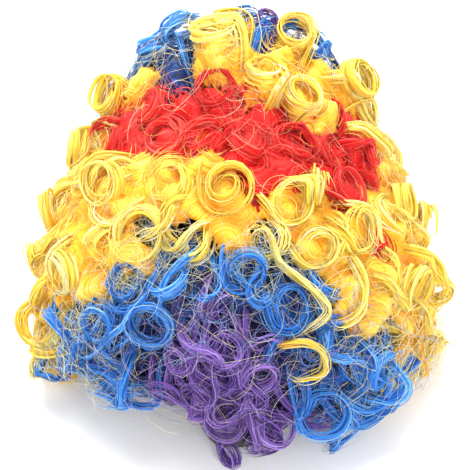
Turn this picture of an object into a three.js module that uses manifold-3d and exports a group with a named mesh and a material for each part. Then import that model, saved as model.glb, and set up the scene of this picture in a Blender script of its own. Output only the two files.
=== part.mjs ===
// Pet clown wig: a soft black cap with an elastic rim, and seven bands of curly rainbow hair sewn across it.
// Millimetres, +Z up. The wig stands on its rim as it lies on a table, with its front towards -Y.
// The origin is the middle of the wig's box, on the surface that it stands on.
import * as THREE from 'three';
import { mergeVertices } from 'three/addons/utils/BufferGeometryUtils.js';
import Module from 'manifold-3d';

const wasm = await Module();
wasm.setup();

// Driving sizes of the cap: its half-widths at the rim, and the dome that stands on a short upright wall
const CAP_HALF_WIDTH = 64;
const CAP_HALF_LENGTH = 78;
const CAP_WALL_TOP = 22;
const CAP_DOME_RISE = 60;
const CAP_THICKNESS = 1.6;
const CAP_SEGMENTS = 28;
const CAP_RINGS = 5;

// The rounded peak that the cap's edge runs out to at the front
const PEAK_LENGTH = 32;
const PEAK_HALF_WIDTH = 22;
const PEAK_TOP = 58;

// The elastic rim is a tape folded over the cap's edge
const RIM_HEIGHT = 12;
const TAPE_THICKNESS = 1.3;
const TAPE_GAP = 0.4;

// How far the middles of the curls stand off the cap, at its sides, at its two ends and at its crown
const HAIR_OUT_SIDE = 38;
const HAIR_OUT_END = 39;
const HAIR_OUT_CROWN = 34;
const FRONT_FULLNESS = 0.16; // share by which the hair is wider at the front, and narrower at the back

// The broad crest that the hair stands up to behind the crown
const CREST_RISE = 34;
const CREST_BACK = 58;
const CREST_HALF_LENGTH = 34;
const CREST_HALF_WIDTH = 88;

// The matted hair under the curls: how far out it and the roots of the locks lie, as shares of the way
// from the cap to the curls, and how it rolls in under its widest line
const PAD_OUTSIDE = 0.95;
const ROOT_DEPTH = 0.8;
const PAD_UNDERSIDE = [
  { height: 10, width: 0.97 },
  { height: 3, width: 0.88 },
];
const PAD_SEGMENTS = 20;
const LOWEST_ROOT_SIDE = 85; // degrees from the crown

// A lock of hair, and how it is coiled
const LOCK_RADIUS = 2.7;
const LOCK_SIDES = 4;
const LOCK_STEPS = 10;
const COIL_PITCH = 6.4;
const COIL_TURNS = 1.15;
const COIL_CONTROL_ANGLE = Math.PI / 4;
const FLOOR_CLEARANCE = 0.8;
const BAND_CLEARANCE = 0.4; // between one band's hair and the next one's

// The red band ends above the sides, where the two yellow bands meet
const RED_LOWEST = 76;
const YELLOW_MEETING = 3.5;

// Curls are placed by their weft row: side is degrees from the crown, left to right, and along runs
// from -1 at the front to 1 at the back. ring is the coil's radius, lift how far it stands proud,
// tilt how far it leans from lying flat to standing on edge, and spin which way it leans,
// in degrees from the front towards the right. root is the row that a curl hangs from, where it isn't its own.
const PURPLE_CURLS = [
  { side: -4, along: -0.86, ring: 9, lift: 0, tilt: 25, spin: 160 },
  { side: 12, along: -0.92, ring: 10, lift: 1, tilt: 20, spin: 20 },
  { side: -47, along: -0.93, ring: 9, lift: 0, tilt: 30, spin: 300 },
  { side: -28, along: -0.985, ring: 9.5, lift: 0, tilt: 25, spin: 220 },
  { side: 58, along: -0.985, ring: 9, lift: 2, tilt: 40, spin: 90 },
  { side: -150, along: -0.985, ring: 8, lift: 7, tilt: 55, spin: 60 },
];
const BLUE_CURLS = [
  { side: -47, along: -0.71, ring: 10, lift: 3, tilt: 10, spin: 0 },
  { side: -68, along: -0.6, ring: 10, lift: 0, tilt: 35, spin: 280 },
  { side: -92, along: -0.64, ring: 9, lift: 2, tilt: 60, spin: 200 },
  { side: -29, along: -0.76, ring: 12, lift: 3, tilt: 20, spin: 30 },
  { side: -20, along: -0.64, ring: 9, lift: 0, tilt: 45, spin: 180 },
  { side: 3, along: -0.63, ring: 10, lift: 1, tilt: 30, spin: 0 },
  { side: 17, along: -0.73, ring: 11, lift: 2, tilt: 15, spin: 90 },
  { side: 76, along: -0.77, ring: 13, lift: 2, tilt: 15, spin: 60 },
  { side: 92, along: -0.66, ring: 11, lift: 2, tilt: 30, spin: 90 },
  { side: 80, along: -0.945, ring: 10.5, lift: 2, tilt: 15, spin: 0, root: -0.74 },
];
const BLUE_TUFTS = [
  { side: -37, along: 0.53, ring: 10, lift: 5, tilt: 40, spin: 180 },
  { side: -20, along: 0.55, ring: 10, lift: 8, tilt: 60, spin: 200 },
  { side: 36, along: 0.54, ring: 10, lift: 8, tilt: 60, spin: 160 },
];
const YELLOW_FRONT_CURLS = [
  { side: -38, along: -0.13, ring: 13, lift: 4, tilt: 25, spin: 330, root: -0.28 },
  { side: -64, along: -0.03, ring: 11, lift: 3, tilt: 35, spin: 270 },
  { side: -80, along: -0.14, ring: 11, lift: 4, tilt: 25, spin: 270 },
  { side: -2, along: -0.3, ring: 14, lift: 6, tilt: 15, spin: 0 },
  { side: 14, along: -0.36, ring: 11, lift: 5, tilt: 15, spin: 40 },
  { side: 21, along: -0.27, ring: 9, lift: 6, tilt: 70, spin: 90 },
  { side: 22, along: -0.52, ring: 9.5, lift: 2, tilt: 20, spin: 20 },
  { side: 34, along: -0.4, ring: 10.5, lift: 5, tilt: 20, spin: 60 },
  { side: 55, along: -0.1, ring: 11, lift: 4, tilt: 20, spin: 90 },
  { side: -26, along: -0.44, ring: 12.5, lift: 3, tilt: 20, spin: 0 },
  { side: -56, along: -0.44, ring: 11, lift: 4, tilt: 15, spin: 300 },
  { side: -88, along: -0.34, ring: 10, lift: 5, tilt: 20, spin: 270 },
  { side: 33, along: -0.62, ring: 10, lift: 3, tilt: 25, spin: 30, root: -0.5 },
  { side: 84, along: -0.28, ring: 11, lift: 6, tilt: 40, spin: 0 },
  { side: 60, along: -0.5, ring: 12, lift: 3, tilt: 20, spin: 60 },
  { side: 98, along: -0.5, ring: 12, lift: 6, tilt: 20, spin: 90 },
  { side: -102, along: -0.5, ring: 11, lift: 6, tilt: 20, spin: 270 },
  { side: 33, along: -0.85, ring: 10, lift: 4, tilt: 10, spin: 0, root: -0.5 },
];
const RED_CURLS = [
  { side: -6, along: 0.18, ring: 10.5, lift: 4, tilt: 20, spin: 350 },
  { side: -26, along: 0.18, ring: 9.5, lift: 3, tilt: 30, spin: 300 },
  { side: -20, along: 0.02, ring: 11, lift: 2, tilt: 15, spin: 0 },
  { side: -40, along: 0.12, ring: 9, lift: 1, tilt: 30, spin: 280 },
  { side: 4, along: -0.06, ring: 10, lift: 1, tilt: 40, spin: 120 },
  { side: 16, along: -0.04, ring: 11, lift: 2, tilt: 15, spin: 20 },
  { side: 29, along: -0.03, ring: 10.5, lift: 2, tilt: 25, spin: 60 },
  { side: 32, along: -0.21, ring: 10.5, lift: 2, tilt: 15, spin: 90 },
  { side: 42, along: -0.02, ring: 9, lift: 1, tilt: 35, spin: 90 },
];
const YELLOW_BACK_CURLS = [
  { side: -2, along: 0.46, ring: 9, lift: 9, tilt: 35, spin: 20 },
  { side: -6, along: 0.35, ring: 10, lift: 6, tilt: 30, spin: 20 },
  { side: 21, along: 0.45, ring: 9.5, lift: 6, tilt: 65, spin: 350 },
  { side: 9, along: 0.2, ring: 10, lift: 3, tilt: 35, spin: 0, root: 0.28 },
  { side: 20, along: 0.18, ring: 10, lift: 3, tilt: 30, spin: 30, root: 0.28 },
  { side: 46, along: 0.4, ring: 12, lift: 10, tilt: 40, spin: 20 },
  { side: -36, along: 0.44, ring: 10.5, lift: 4, tilt: 45, spin: 330 },
  { side: -48, along: 0.38, ring: 12, lift: 6, tilt: 35, spin: 330 },
  { side: -62, along: 0.28, ring: 12, lift: 7, tilt: 25, spin: 300 },
  { side: 62, along: 0.28, ring: 11.5, lift: 4, tilt: 25, spin: 60 },
  { side: -84, along: 0.36, ring: 11.5, lift: 3, tilt: 20, spin: 270 },
  { side: 84, along: 0.36, ring: 11.5, lift: 3, tilt: 20, spin: 90 },
];

// A table of curls turned half round, from the front to the back
function turnedRound(curls) {
  return curls.map((curl) => ({ ...curl, side: -curl.side, along: -curl.along, spin: curl.spin + 180,
    root: curl.root && -curl.root }));
}

// The weft bands, with those whose locks lie uppermost first. Each runs between two rows, its matted hair
// ends at a bottom height, and its curls are one of the tables above. The blue and purple bands at the back
// repeat the front ones, and blue tufts stand up over the crest.
const BANDS = [
  { name: 'hair_yellow_back', colour: 0xf6cf3a, from: 0.22, to: 0.48, bottom: 0, curls: YELLOW_BACK_CURLS },
  { name: 'hair_yellow_front', colour: 0xf6cf3a, from: -0.55, to: -0.24, bottom: 0, curls: YELLOW_FRONT_CURLS },
  { name: 'hair_blue_front', colour: 0x2f7fdc, from: -0.78, to: -0.55, bottom: 0, curls: BLUE_CURLS },
  { name: 'hair_purple_front', colour: 0x6c3fb4, from: -1.3, to: -0.78, bottom: 14, curls: PURPLE_CURLS },
  { name: 'hair_red_crown', colour: 0xee1f22, from: -0.24, to: 0.22, bottom: RED_LOWEST, curls: RED_CURLS },
  {
    name: 'hair_blue_back', colour: 0x2f7fdc, from: 0.48, to: 0.78, bottom: 0,
    curls: [...BLUE_TUFTS, ...turnedRound(BLUE_CURLS)],
  },
  {
    name: 'hair_purple_back', colour: 0x6c3fb4, from: 0.78, to: 1.3, bottom: 0,
    curls: turnedRound(PURPLE_CURLS),
  },
];

const mix = THREE.MathUtils.lerp;
const radians = THREE.MathUtils.degToRad;
const clamp = THREE.MathUtils.clamp;

// Half-axes of the dome at a share of the way out from the cap to the middles of the curls
function domeSize(share) {
  return new THREE.Vector3(
    mix(CAP_HALF_WIDTH, CAP_HALF_WIDTH + HAIR_OUT_SIDE, share),
    mix(CAP_HALF_LENGTH, CAP_HALF_LENGTH + HAIR_OUT_END, share),
    mix(CAP_DOME_RISE, CAP_DOME_RISE + HAIR_OUT_CROWN, share),
  );
}

// How much the crest raises the hair over a point of the dome: nothing at the cap's wall, all of it at the top
function crestAt(point, share) {
  const away = ((point.y - CREST_BACK) / CREST_HALF_LENGTH) ** 2 + (point.x / CREST_HALF_WIDTH) ** 4;
  const height = clamp((point.z - CAP_WALL_TOP) / domeSize(share).z, 0, 1);
  return CREST_RISE * share * Math.exp(-away) * Math.sqrt(height);
}

// A point of the hair on the weft row `along`, `side` degrees from the crown
function hairPoint(side, along, share) {
  const size = domeSize(share);
  const arch = Math.sqrt(1 - along * along);
  const point = new THREE.Vector3(
    size.x * arch * Math.sin(radians(side)) * fullnessAt(along, share),
    size.y * along,
    CAP_WALL_TOP + size.z * arch * Math.cos(radians(side)),
  );
  point.z += crestAt(point, share);
  return point;
}

// The direction straight out of the hair at a point of its outer dome
function outwards(point) {
  const size = domeSize(1);
  return new THREE.Vector3(
    point.x / size.x ** 2,
    point.y / size.y ** 2,
    (point.z - CAP_WALL_TOP) / size.z ** 2,
  ).normalize();
}

// A closed mesh as a solid for joining and cutting
function solidOf(geometry) {
  const bare = geometry.clone();
  bare.deleteAttribute('normal');
  bare.deleteAttribute('uv');
  const merged = mergeVertices(bare);
  return new wasm.Manifold(new wasm.Mesh({
    numProp: 3,
    vertProperties: merged.getAttribute('position').array,
    triVerts: new Uint32Array(merged.index.array),
  }));
}

function geometryOf(solid) {
  const mesh = solid.getMesh();
  const geometry = new THREE.BufferGeometry();
  geometry.setAttribute('position', new THREE.BufferAttribute(mesh.vertProperties, mesh.numProp));
  geometry.setIndex(new THREE.BufferAttribute(mesh.triVerts, 1));
  geometry.computeVertexNormals();
  return geometry;
}

// A profile of radius and height, turned round the wig's axis and stretched from its width to its length
function turnedProfile(profile, segments, stretch) {
  const points = profile.map(([radius, height]) => new THREE.Vector2(radius, height));
  return new THREE.LatheGeometry(points, segments).rotateX(Math.PI / 2).scale(1, stretch, 1);
}

// Draws the front of a cap-shaped geometry out to the peak, most at the edge and at the middle
function drawPeak(geometry) {
  const places = geometry.getAttribute('position');
  for (let index = 0; index < places.count; index += 1) {
    const across = places.getX(index) / PEAK_HALF_WIDTH;
    const fade = 1 - THREE.MathUtils.smoothstep(places.getZ(index), CAP_WALL_TOP, PEAK_TOP);
    const reach = places.getY(index) < 0 ? PEAK_LENGTH * fade * Math.exp(-(across ** 4)) : 0;
    places.setY(index, places.getY(index) - reach);
  }
  return geometry;
}

// How much wider than its middle the hair is towards the front, and narrower towards the back
function fullnessAt(along, share) {
  return 1 - FRONT_FULLNESS * share * along;
}

// Widens the front of the dome of matted hair and raises its crest
function shapeMattedHair(geometry) {
  const places = geometry.getAttribute('position');
  const halfLength = domeSize(PAD_OUTSIDE).y;
  const point = new THREE.Vector3();
  for (let index = 0; index < places.count; index += 1) {
    point.fromBufferAttribute(places, index);
    point.x *= fullnessAt(point.y / halfLength, PAD_OUTSIDE);
    places.setX(index, point.x);
    places.setZ(index, point.z + crestAt(point, PAD_OUTSIDE));
  }
  return geometry;
}

// The wall of a dome as [radius, height] pairs, from its crown down to the top of its upright part
function domeWall(radius, rise) {
  const wall = [[0, CAP_WALL_TOP + rise]];
  for (let ring = 1; ring <= CAP_RINGS; ring += 1) {
    const angle = (Math.PI / 2) * (1 - ring / CAP_RINGS);
    wall.push([radius * Math.cos(angle), CAP_WALL_TOP + rise * Math.sin(angle)]);
  }
  return wall;
}

const capStretch = CAP_HALF_LENGTH / CAP_HALF_WIDTH;
const rimOuter = CAP_HALF_WIDTH + TAPE_GAP + TAPE_THICKNESS;

function capGeometry() {
  const insideWidth = CAP_HALF_WIDTH - CAP_THICKNESS;
  const edge = TAPE_THICKNESS + TAPE_GAP;
  const outside = [...domeWall(CAP_HALF_WIDTH, CAP_DOME_RISE), [CAP_HALF_WIDTH, edge]];
  const inside = [...domeWall(insideWidth, CAP_DOME_RISE - CAP_THICKNESS), [insideWidth, edge]];
  return drawPeak(turnedProfile([...inside, ...outside.reverse()], CAP_SEGMENTS, capStretch));
}

// The tape's folded section, round the cap's edge with a small gap
function rimGeometry() {
  const outer = CAP_HALF_WIDTH + TAPE_GAP;
  const inner = CAP_HALF_WIDTH - CAP_THICKNESS - TAPE_GAP;
  const section = [
    [rimOuter, 0],
    [rimOuter, RIM_HEIGHT],
    [outer, RIM_HEIGHT],
    [outer, TAPE_THICKNESS],
    [inner, TAPE_THICKNESS],
    [inner, RIM_HEIGHT],
    [inner - TAPE_THICKNESS, RIM_HEIGHT],
    [inner - TAPE_THICKNESS, 0],
    [rimOuter, 0],
  ];
  return drawPeak(turnedProfile(section, CAP_SEGMENTS, capStretch));
}

// A block between two weft rows, to cut one band out of the matted hair
function slab(front, back, bottom, top) {
  const reach = 2 * domeSize(1).x;
  const block = new THREE.BoxGeometry(2 * reach, back - front, top - bottom);
  return solidOf(block.translate(0, (front + back) / 2, (bottom + top) / 2));
}

// The space of one band's matted hair. The red band stops above the sides, and the yellow ones meet below it.
function bandSpace(band) {
  const rowLength = domeSize(ROOT_DEPTH).y;
  const half = BAND_CLEARANCE / 2;
  const front = band.from * rowLength + half;
  const back = band.to * rowLength - half;
  const top = 2 * domeSize(1).z;
  const space = slab(front, back, band.bottom, top);
  if (band.name === 'hair_yellow_front') {
    return space.add(slab(front, YELLOW_MEETING - half, 0, RED_LOWEST - BAND_CLEARANCE));
  }
  if (band.name === 'hair_yellow_back') {
    return space.add(slab(YELLOW_MEETING + half, back, 0, RED_LOWEST - BAND_CLEARANCE));
  }
  return space;
}

// The matted hair of every band in one solid: a full dome, less the cap and its rim and a small gap round them
function mattedHair() {
  const size = domeSize(PAD_OUTSIDE);
  const underside = PAD_UNDERSIDE.map((step) => [size.x * step.width, step.height]);
  const floor = PAD_UNDERSIDE.at(-1).height;
  const outside = [...domeWall(size.x, size.z), ...underside, [0, floor]];
  const capWidth = CAP_HALF_WIDTH + BAND_CLEARANCE;
  const rimWidth = rimOuter + BAND_CLEARANCE;
  const rimTop = RIM_HEIGHT + BAND_CLEARANCE;
  const core = [
    ...domeWall(capWidth, CAP_DOME_RISE + BAND_CLEARANCE),
    [capWidth, rimTop],
    [rimWidth, rimTop],
    [rimWidth, 0],
    [0, 0],
  ];
  const dome = solidOf(shapeMattedHair(turnedProfile(outside.reverse(), PAD_SEGMENTS, size.y / size.x)));
  return dome.subtract(solidOf(drawPeak(turnedProfile(core.reverse(), CAP_SEGMENTS, capStretch))));
}

// The middle line of one lock: out of the matted hair, then round its coil
function lockPath(curl) {
  const middle = hairPoint(curl.side, curl.along, 1);
  const out = outwards(middle);
  middle.addScaledVector(out, curl.lift);
  const front = new THREE.Vector3(0, -1, 0).addScaledVector(out, out.y).normalize();
  const right = new THREE.Vector3().crossVectors(out, front);
  const lean = front.clone().multiplyScalar(Math.cos(radians(curl.spin)));
  lean.addScaledVector(right, Math.sin(radians(curl.spin)));
  const axis = out.clone().multiplyScalar(Math.cos(radians(curl.tilt)));
  axis.addScaledVector(lean, Math.sin(radians(curl.tilt)));
  const rise = out.clone().multiplyScalar(Math.sin(radians(curl.tilt)));
  rise.addScaledVector(lean, -Math.cos(radians(curl.tilt)));
  const across = new THREE.Vector3().crossVectors(rise, axis);

  const rootSide = clamp(curl.side, -LOWEST_ROOT_SIDE, LOWEST_ROOT_SIDE);
  const root = hairPoint(rootSide, curl.root ?? curl.along, ROOT_DEPTH);
  const start = middle.clone().addScaledVector(across, curl.ring);
  const bend = start.clone().addScaledVector(rise, -0.8 * curl.ring).lerp(root, 0.3);
  const points = [root, bend];
  for (let angle = 0; angle <= 2 * Math.PI * COIL_TURNS; angle += COIL_CONTROL_ANGLE) {
    const point = middle.clone().addScaledVector(axis, (COIL_PITCH * angle) / (2 * Math.PI));
    point.addScaledVector(across, curl.ring * Math.cos(angle));
    point.addScaledVector(rise, curl.ring * Math.sin(angle));
    points.push(point);
  }
  const lowest = LOCK_RADIUS + FLOOR_CLEARANCE;
  points.forEach((point) => { point.z = Math.max(point.z, lowest); });
  return new THREE.CatmullRomCurve3(points);
}

function lockSolid(curl, clearance) {
  const section = new THREE.Shape();
  for (let side = 0; side < LOCK_SIDES; side += 1) {
    const angle = (2 * Math.PI * side) / LOCK_SIDES;
    const radius = LOCK_RADIUS + clearance;
    const corner = [radius * Math.cos(angle), radius * Math.sin(angle)];
    if (side === 0) section.moveTo(...corner);
    else section.lineTo(...corner);
  }
  section.closePath();
  return solidOf(new THREE.ExtrudeGeometry(section, { steps: LOCK_STEPS, extrudePath: lockPath(curl) }));
}

// All the locks of a band in one solid, thicker by a clearance where they are to cut other hair back
function bandLocks(band, clearance) {
  return band.curls.map((curl) => lockSolid(curl, clearance)).reduce((all, lock) => all.add(lock));
}

function largest(solid) {
  return solid.decompose().reduce((best, body) => (body.volume() > best.volume() ? body : best));
}

function named(name, geometry, colour, roughness) {
  const material = new THREE.MeshStandardMaterial({ color: colour, roughness, metalness: 0 });
  const mesh = new THREE.Mesh(geometry, material);
  mesh.name = name;
  return mesh;
}

const wig = new THREE.Group();
wig.add(named('cap', capGeometry(), 0x17141a, 0.9));
wig.add(named('rim_band', rimGeometry(), 0x0e0d10, 0.75));

// Each band is its share of the matted hair with its locks joined to it. Locks press into the other bands'
// matted hair, and where locks cross, those of a band listed later are cut back.
const hair = mattedHair();
const clearings = BANDS.map((band) => bandLocks(band, BAND_CLEARANCE));
const cutBack = (solid, cutters) => cutters.reduce((rest, cutter) => rest.subtract(cutter), solid);
BANDS.forEach((band, order) => {
  const others = clearings.filter((_, place) => place !== order);
  const pad = cutBack(hair.intersect(bandSpace(band)), others);
  const locks = cutBack(bandLocks(band, 0), clearings.slice(0, order));
  wig.add(named(band.name, geometryOf(largest(pad.add(locks))), band.colour, 0.45));
});

// The origin goes to the middle of the box, on the surface under the rim
const box = new THREE.Box3().setFromObject(wig);
const middle = box.getCenter(new THREE.Vector3());
wig.children.forEach((mesh) => mesh.position.set(-middle.x, -middle.y, -box.min.z));

export default wig;
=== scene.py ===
import math
import bmesh
import bpy
import numpy as np
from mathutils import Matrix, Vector, noise


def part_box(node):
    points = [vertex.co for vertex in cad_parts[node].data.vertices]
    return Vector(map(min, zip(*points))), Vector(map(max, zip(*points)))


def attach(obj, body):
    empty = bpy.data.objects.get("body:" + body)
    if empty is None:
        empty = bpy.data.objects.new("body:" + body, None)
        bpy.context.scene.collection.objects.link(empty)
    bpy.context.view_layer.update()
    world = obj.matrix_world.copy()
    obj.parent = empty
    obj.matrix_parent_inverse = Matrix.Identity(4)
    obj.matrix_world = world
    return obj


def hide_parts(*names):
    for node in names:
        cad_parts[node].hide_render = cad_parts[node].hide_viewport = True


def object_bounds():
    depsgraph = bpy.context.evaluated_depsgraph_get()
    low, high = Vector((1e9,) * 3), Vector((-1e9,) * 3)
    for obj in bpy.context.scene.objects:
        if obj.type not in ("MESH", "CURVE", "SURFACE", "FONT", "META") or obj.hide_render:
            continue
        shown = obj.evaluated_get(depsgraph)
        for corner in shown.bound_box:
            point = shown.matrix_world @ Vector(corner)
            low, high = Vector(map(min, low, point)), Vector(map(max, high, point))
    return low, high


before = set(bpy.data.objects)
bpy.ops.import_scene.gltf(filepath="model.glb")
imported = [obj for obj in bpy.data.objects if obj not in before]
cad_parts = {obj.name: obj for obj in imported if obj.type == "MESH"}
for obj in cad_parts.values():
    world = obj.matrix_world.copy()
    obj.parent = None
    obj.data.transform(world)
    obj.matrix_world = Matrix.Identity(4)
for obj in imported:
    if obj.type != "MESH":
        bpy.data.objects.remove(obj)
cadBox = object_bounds()  # the box of the solids, before anything is added
mm = 0.001
rng = np.random.default_rng(58)

# the dome that the hair stands on, measured from the cap
capLow, capHigh = (np.array(corner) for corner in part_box("cap"))
wallTop = 22 * mm
dome = {
    "wallTop": wallTop,
    "halfWidth": (capHigh[0] - capLow[0]) / 2,
    "halfLength": 78 * mm,
    "rise": capHigh[2] - wallTop,
    "outSide": 38 * mm,  # how far the curls stand off the cap
    "outEnd": 39 * mm,
    "outCrown": 34 * mm,
    "frontFullness": 0.3,  # wider at the front
    "backFullness": 0.16,
    "crestRise": 34 * mm,  # the hair stands up behind the crown
    "crestBack": 58 * mm,
    "crestHalfLength": 34 * mm,
    "crestHalfWidth": 88 * mm,
    "lowest": 3 * mm,
    "leftHemRise": 34 * mm,  # the front ends higher at the left, and a little at the right
    "leftHem": (5 * mm, 15 * mm),
    "rightHemRise": 14 * mm,
    "rightHem": (46 * mm, 60 * mm),
    "frontHem": (72 * mm, 88 * mm),
}
domeMiddle = np.array([(capLow[0] + capHigh[0]) / 2, capHigh[1] - dome["halfLength"], 0.0])
domeFoot = domeMiddle + np.array([0, 0, dome["wallTop"]])


def unit(vector):
    return vector / np.maximum(1e-12, np.linalg.norm(vector, axis=-1, keepdims=True))


# goes smoothly from 0 to 1 as a value crosses a span
def ease(value, span):
    t = np.clip((value - span[0]) / (span[1] - span[0]), 0, 1)
    return t * t * (3 - 2 * t)


# half-axes of the dome at a share of the way out from the cap to the curls
def domeSize(share):
    cap = np.array([dome["halfWidth"], dome["halfLength"], dome["rise"]])
    out = np.array([dome["outSide"], dome["outEnd"], dome["outCrown"]])
    return cap + np.asarray(share)[..., None] * out


def crestAt(x, y, height, share):
    away = ((y - dome["crestBack"]) / dome["crestHalfLength"]) ** 2 + (x / dome["crestHalfWidth"]) ** 4
    return dome["crestRise"] * share * np.exp(-away) * np.sqrt(np.clip(height, 0, 1))


# how much wider the hair is towards the front
def widthAt(along, share):
    return 1 - share * along * np.where(along < 0, dome["frontFullness"], dome["backFullness"])


# how low the hair hangs
def hemAt(x, y):
    left = dome["leftHemRise"] * ease(-x, dome["leftHem"])
    right = dome["rightHemRise"] * ease(x, dome["rightHem"])
    return dome["lowest"] + (left + right) * ease(-y, dome["frontHem"])


# places in the hair: side is degrees from the crown, along runs from -1 at the front to 1 at the back
def hairPoint(side, along, share):
    side, along, share = np.broadcast_arrays(np.radians(side), along, share)
    size = domeSize(share)
    arch = np.sqrt(np.clip(1 - along * along, 0, None))
    x = size[..., 0] * arch * np.sin(side) * widthAt(along, share)
    y = size[..., 1] * along
    z = size[..., 2] * arch * np.cos(side) + crestAt(x, y, arch * np.cos(side), share)
    z = np.maximum(z, hemAt(x, y) - dome["wallTop"])
    return domeFoot + np.stack([x, y, z], axis=-1)


# the nearest place to a point, at a share of the way out
def ontoHair(points, share):
    share = np.asarray(share)
    size = domeSize(share)
    x, y, z = np.moveaxis(points - domeFoot, -1, 0)
    along = np.clip(y / size[..., 1], -1, 1)
    z = z - crestAt(x, y, z / size[..., 2], share)
    ball = unit(np.stack([x / (size[..., 0] * widthAt(along, share)), along, z / size[..., 2]], axis=-1))
    return hairPoint(np.degrees(np.arctan2(ball[..., 0], ball[..., 2])), ball[..., 1], share)


# straight out of the hair, and the two ways along it: to the front and to the right
def hairAxes(points):
    out = unit((points - domeFoot) / domeSize(1.0) ** 2)
    front = unit(np.array([0.0, -1.0, 0.0]) + out[..., 1:2] * out)
    return out, front, np.cross(out, front)


crown = hairPoint(0, 0.1, 1.0)


# straight out of the hair, the way it falls from the crown, and across that
def fallAxes(points):
    out = unit((points - domeFoot) / domeSize(1.0) ** 2)
    away = points - crown
    down = unit(away - np.sum(away * out, axis=-1, keepdims=True) * out)
    return out, down, np.cross(out, down)


# which band of hair a place belongs to: rows by how far along they lie, sides in degrees from the crown
bandRows = {
    "purpleTop": -0.72,  # purple before this row, then blue
    "purpleMiddle": -5,
    "purpleLeft": 0.0032,  # how far the row runs to the front for each degree to the left or right
    "purpleRight": 0.0052,
    "blue": -0.54,  # then yellow
    "blueSlant": 0.0006,
    "blueDip": 0.1,  # the yellow hangs lower on the right
    "blueDipSide": 48,
    "blueDipWidth": 20,
    "blueSides": (-100, 86),  # outside these it is yellow
    "yellowHem": -0.82,  # and blue again in front of this row
    "purpleTip": -0.955,  # the purple reaches at least this row
    "red": -0.31,  # then red, in a bow
    "redMiddle": 10,
    "redBow": 0.00016,
    "redSide": 50,
    "redFrontDip": 0.14,  # a yellow swirl runs up into the red
    "redFrontDipSide": -3,
    "redFrontDipWidth": 9,
    "redBack": 0.27,  # then yellow again
    "redDip": 0.14,
    "redDipSide": 20,
    "redDipWidth": 14,
    "yellowMeeting": 0.03,  # where the yellow bands meet at the sides
    "yellowBack": 0.48,  # then blue, which comes further forward on the left
    "yellowBackDip": 0.19,
    "yellowBackDipSide": -27,
    "yellowBackDipWidth": 17,
    "crestDip": 0.13,  # and at the top of the crest
    "crestDipSide": 9,
    "crestDipWidth": 6,
    "blueBack": 0.78,  # then purple to the back edge
}


def dipAt(side, name):
    away = (side - bandRows[name + "DipSide"]) / bandRows[name + "DipWidth"]
    return bandRows[name + "Dip"] * math.exp(-away * away)


def bandAt(side, along):
    if along > bandRows["yellowBack"] - dipAt(side, "yellowBack") - dipAt(side, "crest"):
        return "hair_blue_back" if along < bandRows["blueBack"] else "hair_purple_back"
    if along < bandRows["blue"] - bandRows["blueSlant"] * abs(side) - dipAt(side, "blue"):
        away = side - bandRows["purpleMiddle"]
        slant = bandRows["purpleRight"] * away if away > 0 else -bandRows["purpleLeft"] * away
        if along < max(bandRows["purpleTop"] - slant, bandRows["purpleTip"]):
            return "hair_purple_front"
        left, right = bandRows["blueSides"]
        inBlue = left < side < right or along < bandRows["yellowHem"]
        return "hair_blue_front" if inBlue else "hair_yellow_front"
    bow = bandRows["redBow"] * (side - bandRows["redMiddle"]) ** 2
    redFront = bandRows["red"] + bow + dipAt(side, "redFront")
    redBack = bandRows["redBack"] - dipAt(side, "red")
    if redFront < along < redBack and abs(side) < bandRows["redSide"]:
        return "hair_red_crown"
    return "hair_yellow_front" if along < bandRows["yellowMeeting"] else "hair_yellow_back"


# side and along of points on the hair
def placesOf(points):
    ball = unit((points - domeFoot) / domeSize(1.0))
    return np.degrees(np.arctan2(ball[..., 0], ball[..., 2])), ball[..., 1]


# the share of each path that lies in a band
def shareInBand(paths, node):
    shares = []
    for sides, alongs in zip(*placesOf(paths)):
        shares.append(np.mean([bandAt(side, along) == node for side, along in zip(sides, alongs)]))
    return np.array(shares)


def addObject(name, data):
    thing = bpy.data.objects.new(name, data)
    bpy.context.collection.objects.link(thing)
    return thing


def meshFrom(bm, name):
    mesh = bpy.data.meshes.new(name)
    bm.to_mesh(mesh)
    bm.free()
    return mesh


# camera
view = {
    "elevation": 48,  # degrees above the table
    "distance": 600 * mm,
    "lens": 85,
    "aim": (0.0, -6.5 * mm, 45.7 * mm),  # from the middle of the cap's rim
}


def placeCamera():
    tilt = math.radians(view["elevation"])
    aim = domeMiddle + np.array(view["aim"])
    camera = addObject("camera", bpy.data.cameras.new("camera"))
    camera.data.lens = view["lens"]
    camera.data.clip_start = 0.01
    camera.location = aim + view["distance"] * np.array([0, -math.cos(tilt), math.sin(tilt)])
    camera.rotation_euler = (math.pi / 2 - tilt, 0, 0)
    bpy.context.scene.camera = camera


placeCamera()
print("camera placed")

# studio: a pale table, a broad lamp above and behind, a softer one in front
studio = {
    "floorHalf": 3.0,
    "world": 0.8,
    "keyPower": 20,
    "keyPlace": (-0.15, 0.45, 0.95),
    "keySize": 0.8,
    "fillPower": 9,
    "fillPlace": (0.3, -0.9, 0.8),
    "fillSize": 0.9,
}


def addLamp(name, place, size, power):
    lamp = addObject(name, bpy.data.lights.new(name, "AREA"))
    lamp.data.size = size
    lamp.data.energy = power
    lamp.location = place
    lamp.rotation_euler = (Vector((0, 0, 0.05)) - Vector(place)).to_track_quat("-Z", "Y").to_euler()


def newMaterial(name):
    material = bpy.data.materials.new(name)
    material.use_nodes = True
    return material


# fills a node's inputs: sockets of other nodes are linked, and other values set
def feed(material, node, inputs):
    for key, value in inputs.items():
        if isinstance(value, bpy.types.NodeSocket):
            material.node_tree.links.new(value, node.inputs[key])
        else:
            node.inputs[key].default_value = value


def feedSurface(material, inputs):
    feed(material, material.node_tree.nodes["Principled BSDF"], inputs)


def addNode(material, kind, inputs):
    node = material.node_tree.nodes.new("ShaderNode" + kind)
    feed(material, node, inputs)
    return node


def attributeOf(material, name):
    node = addNode(material, "Attribute", {})
    node.attribute_name = name
    return node.outputs["Fac"]


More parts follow.
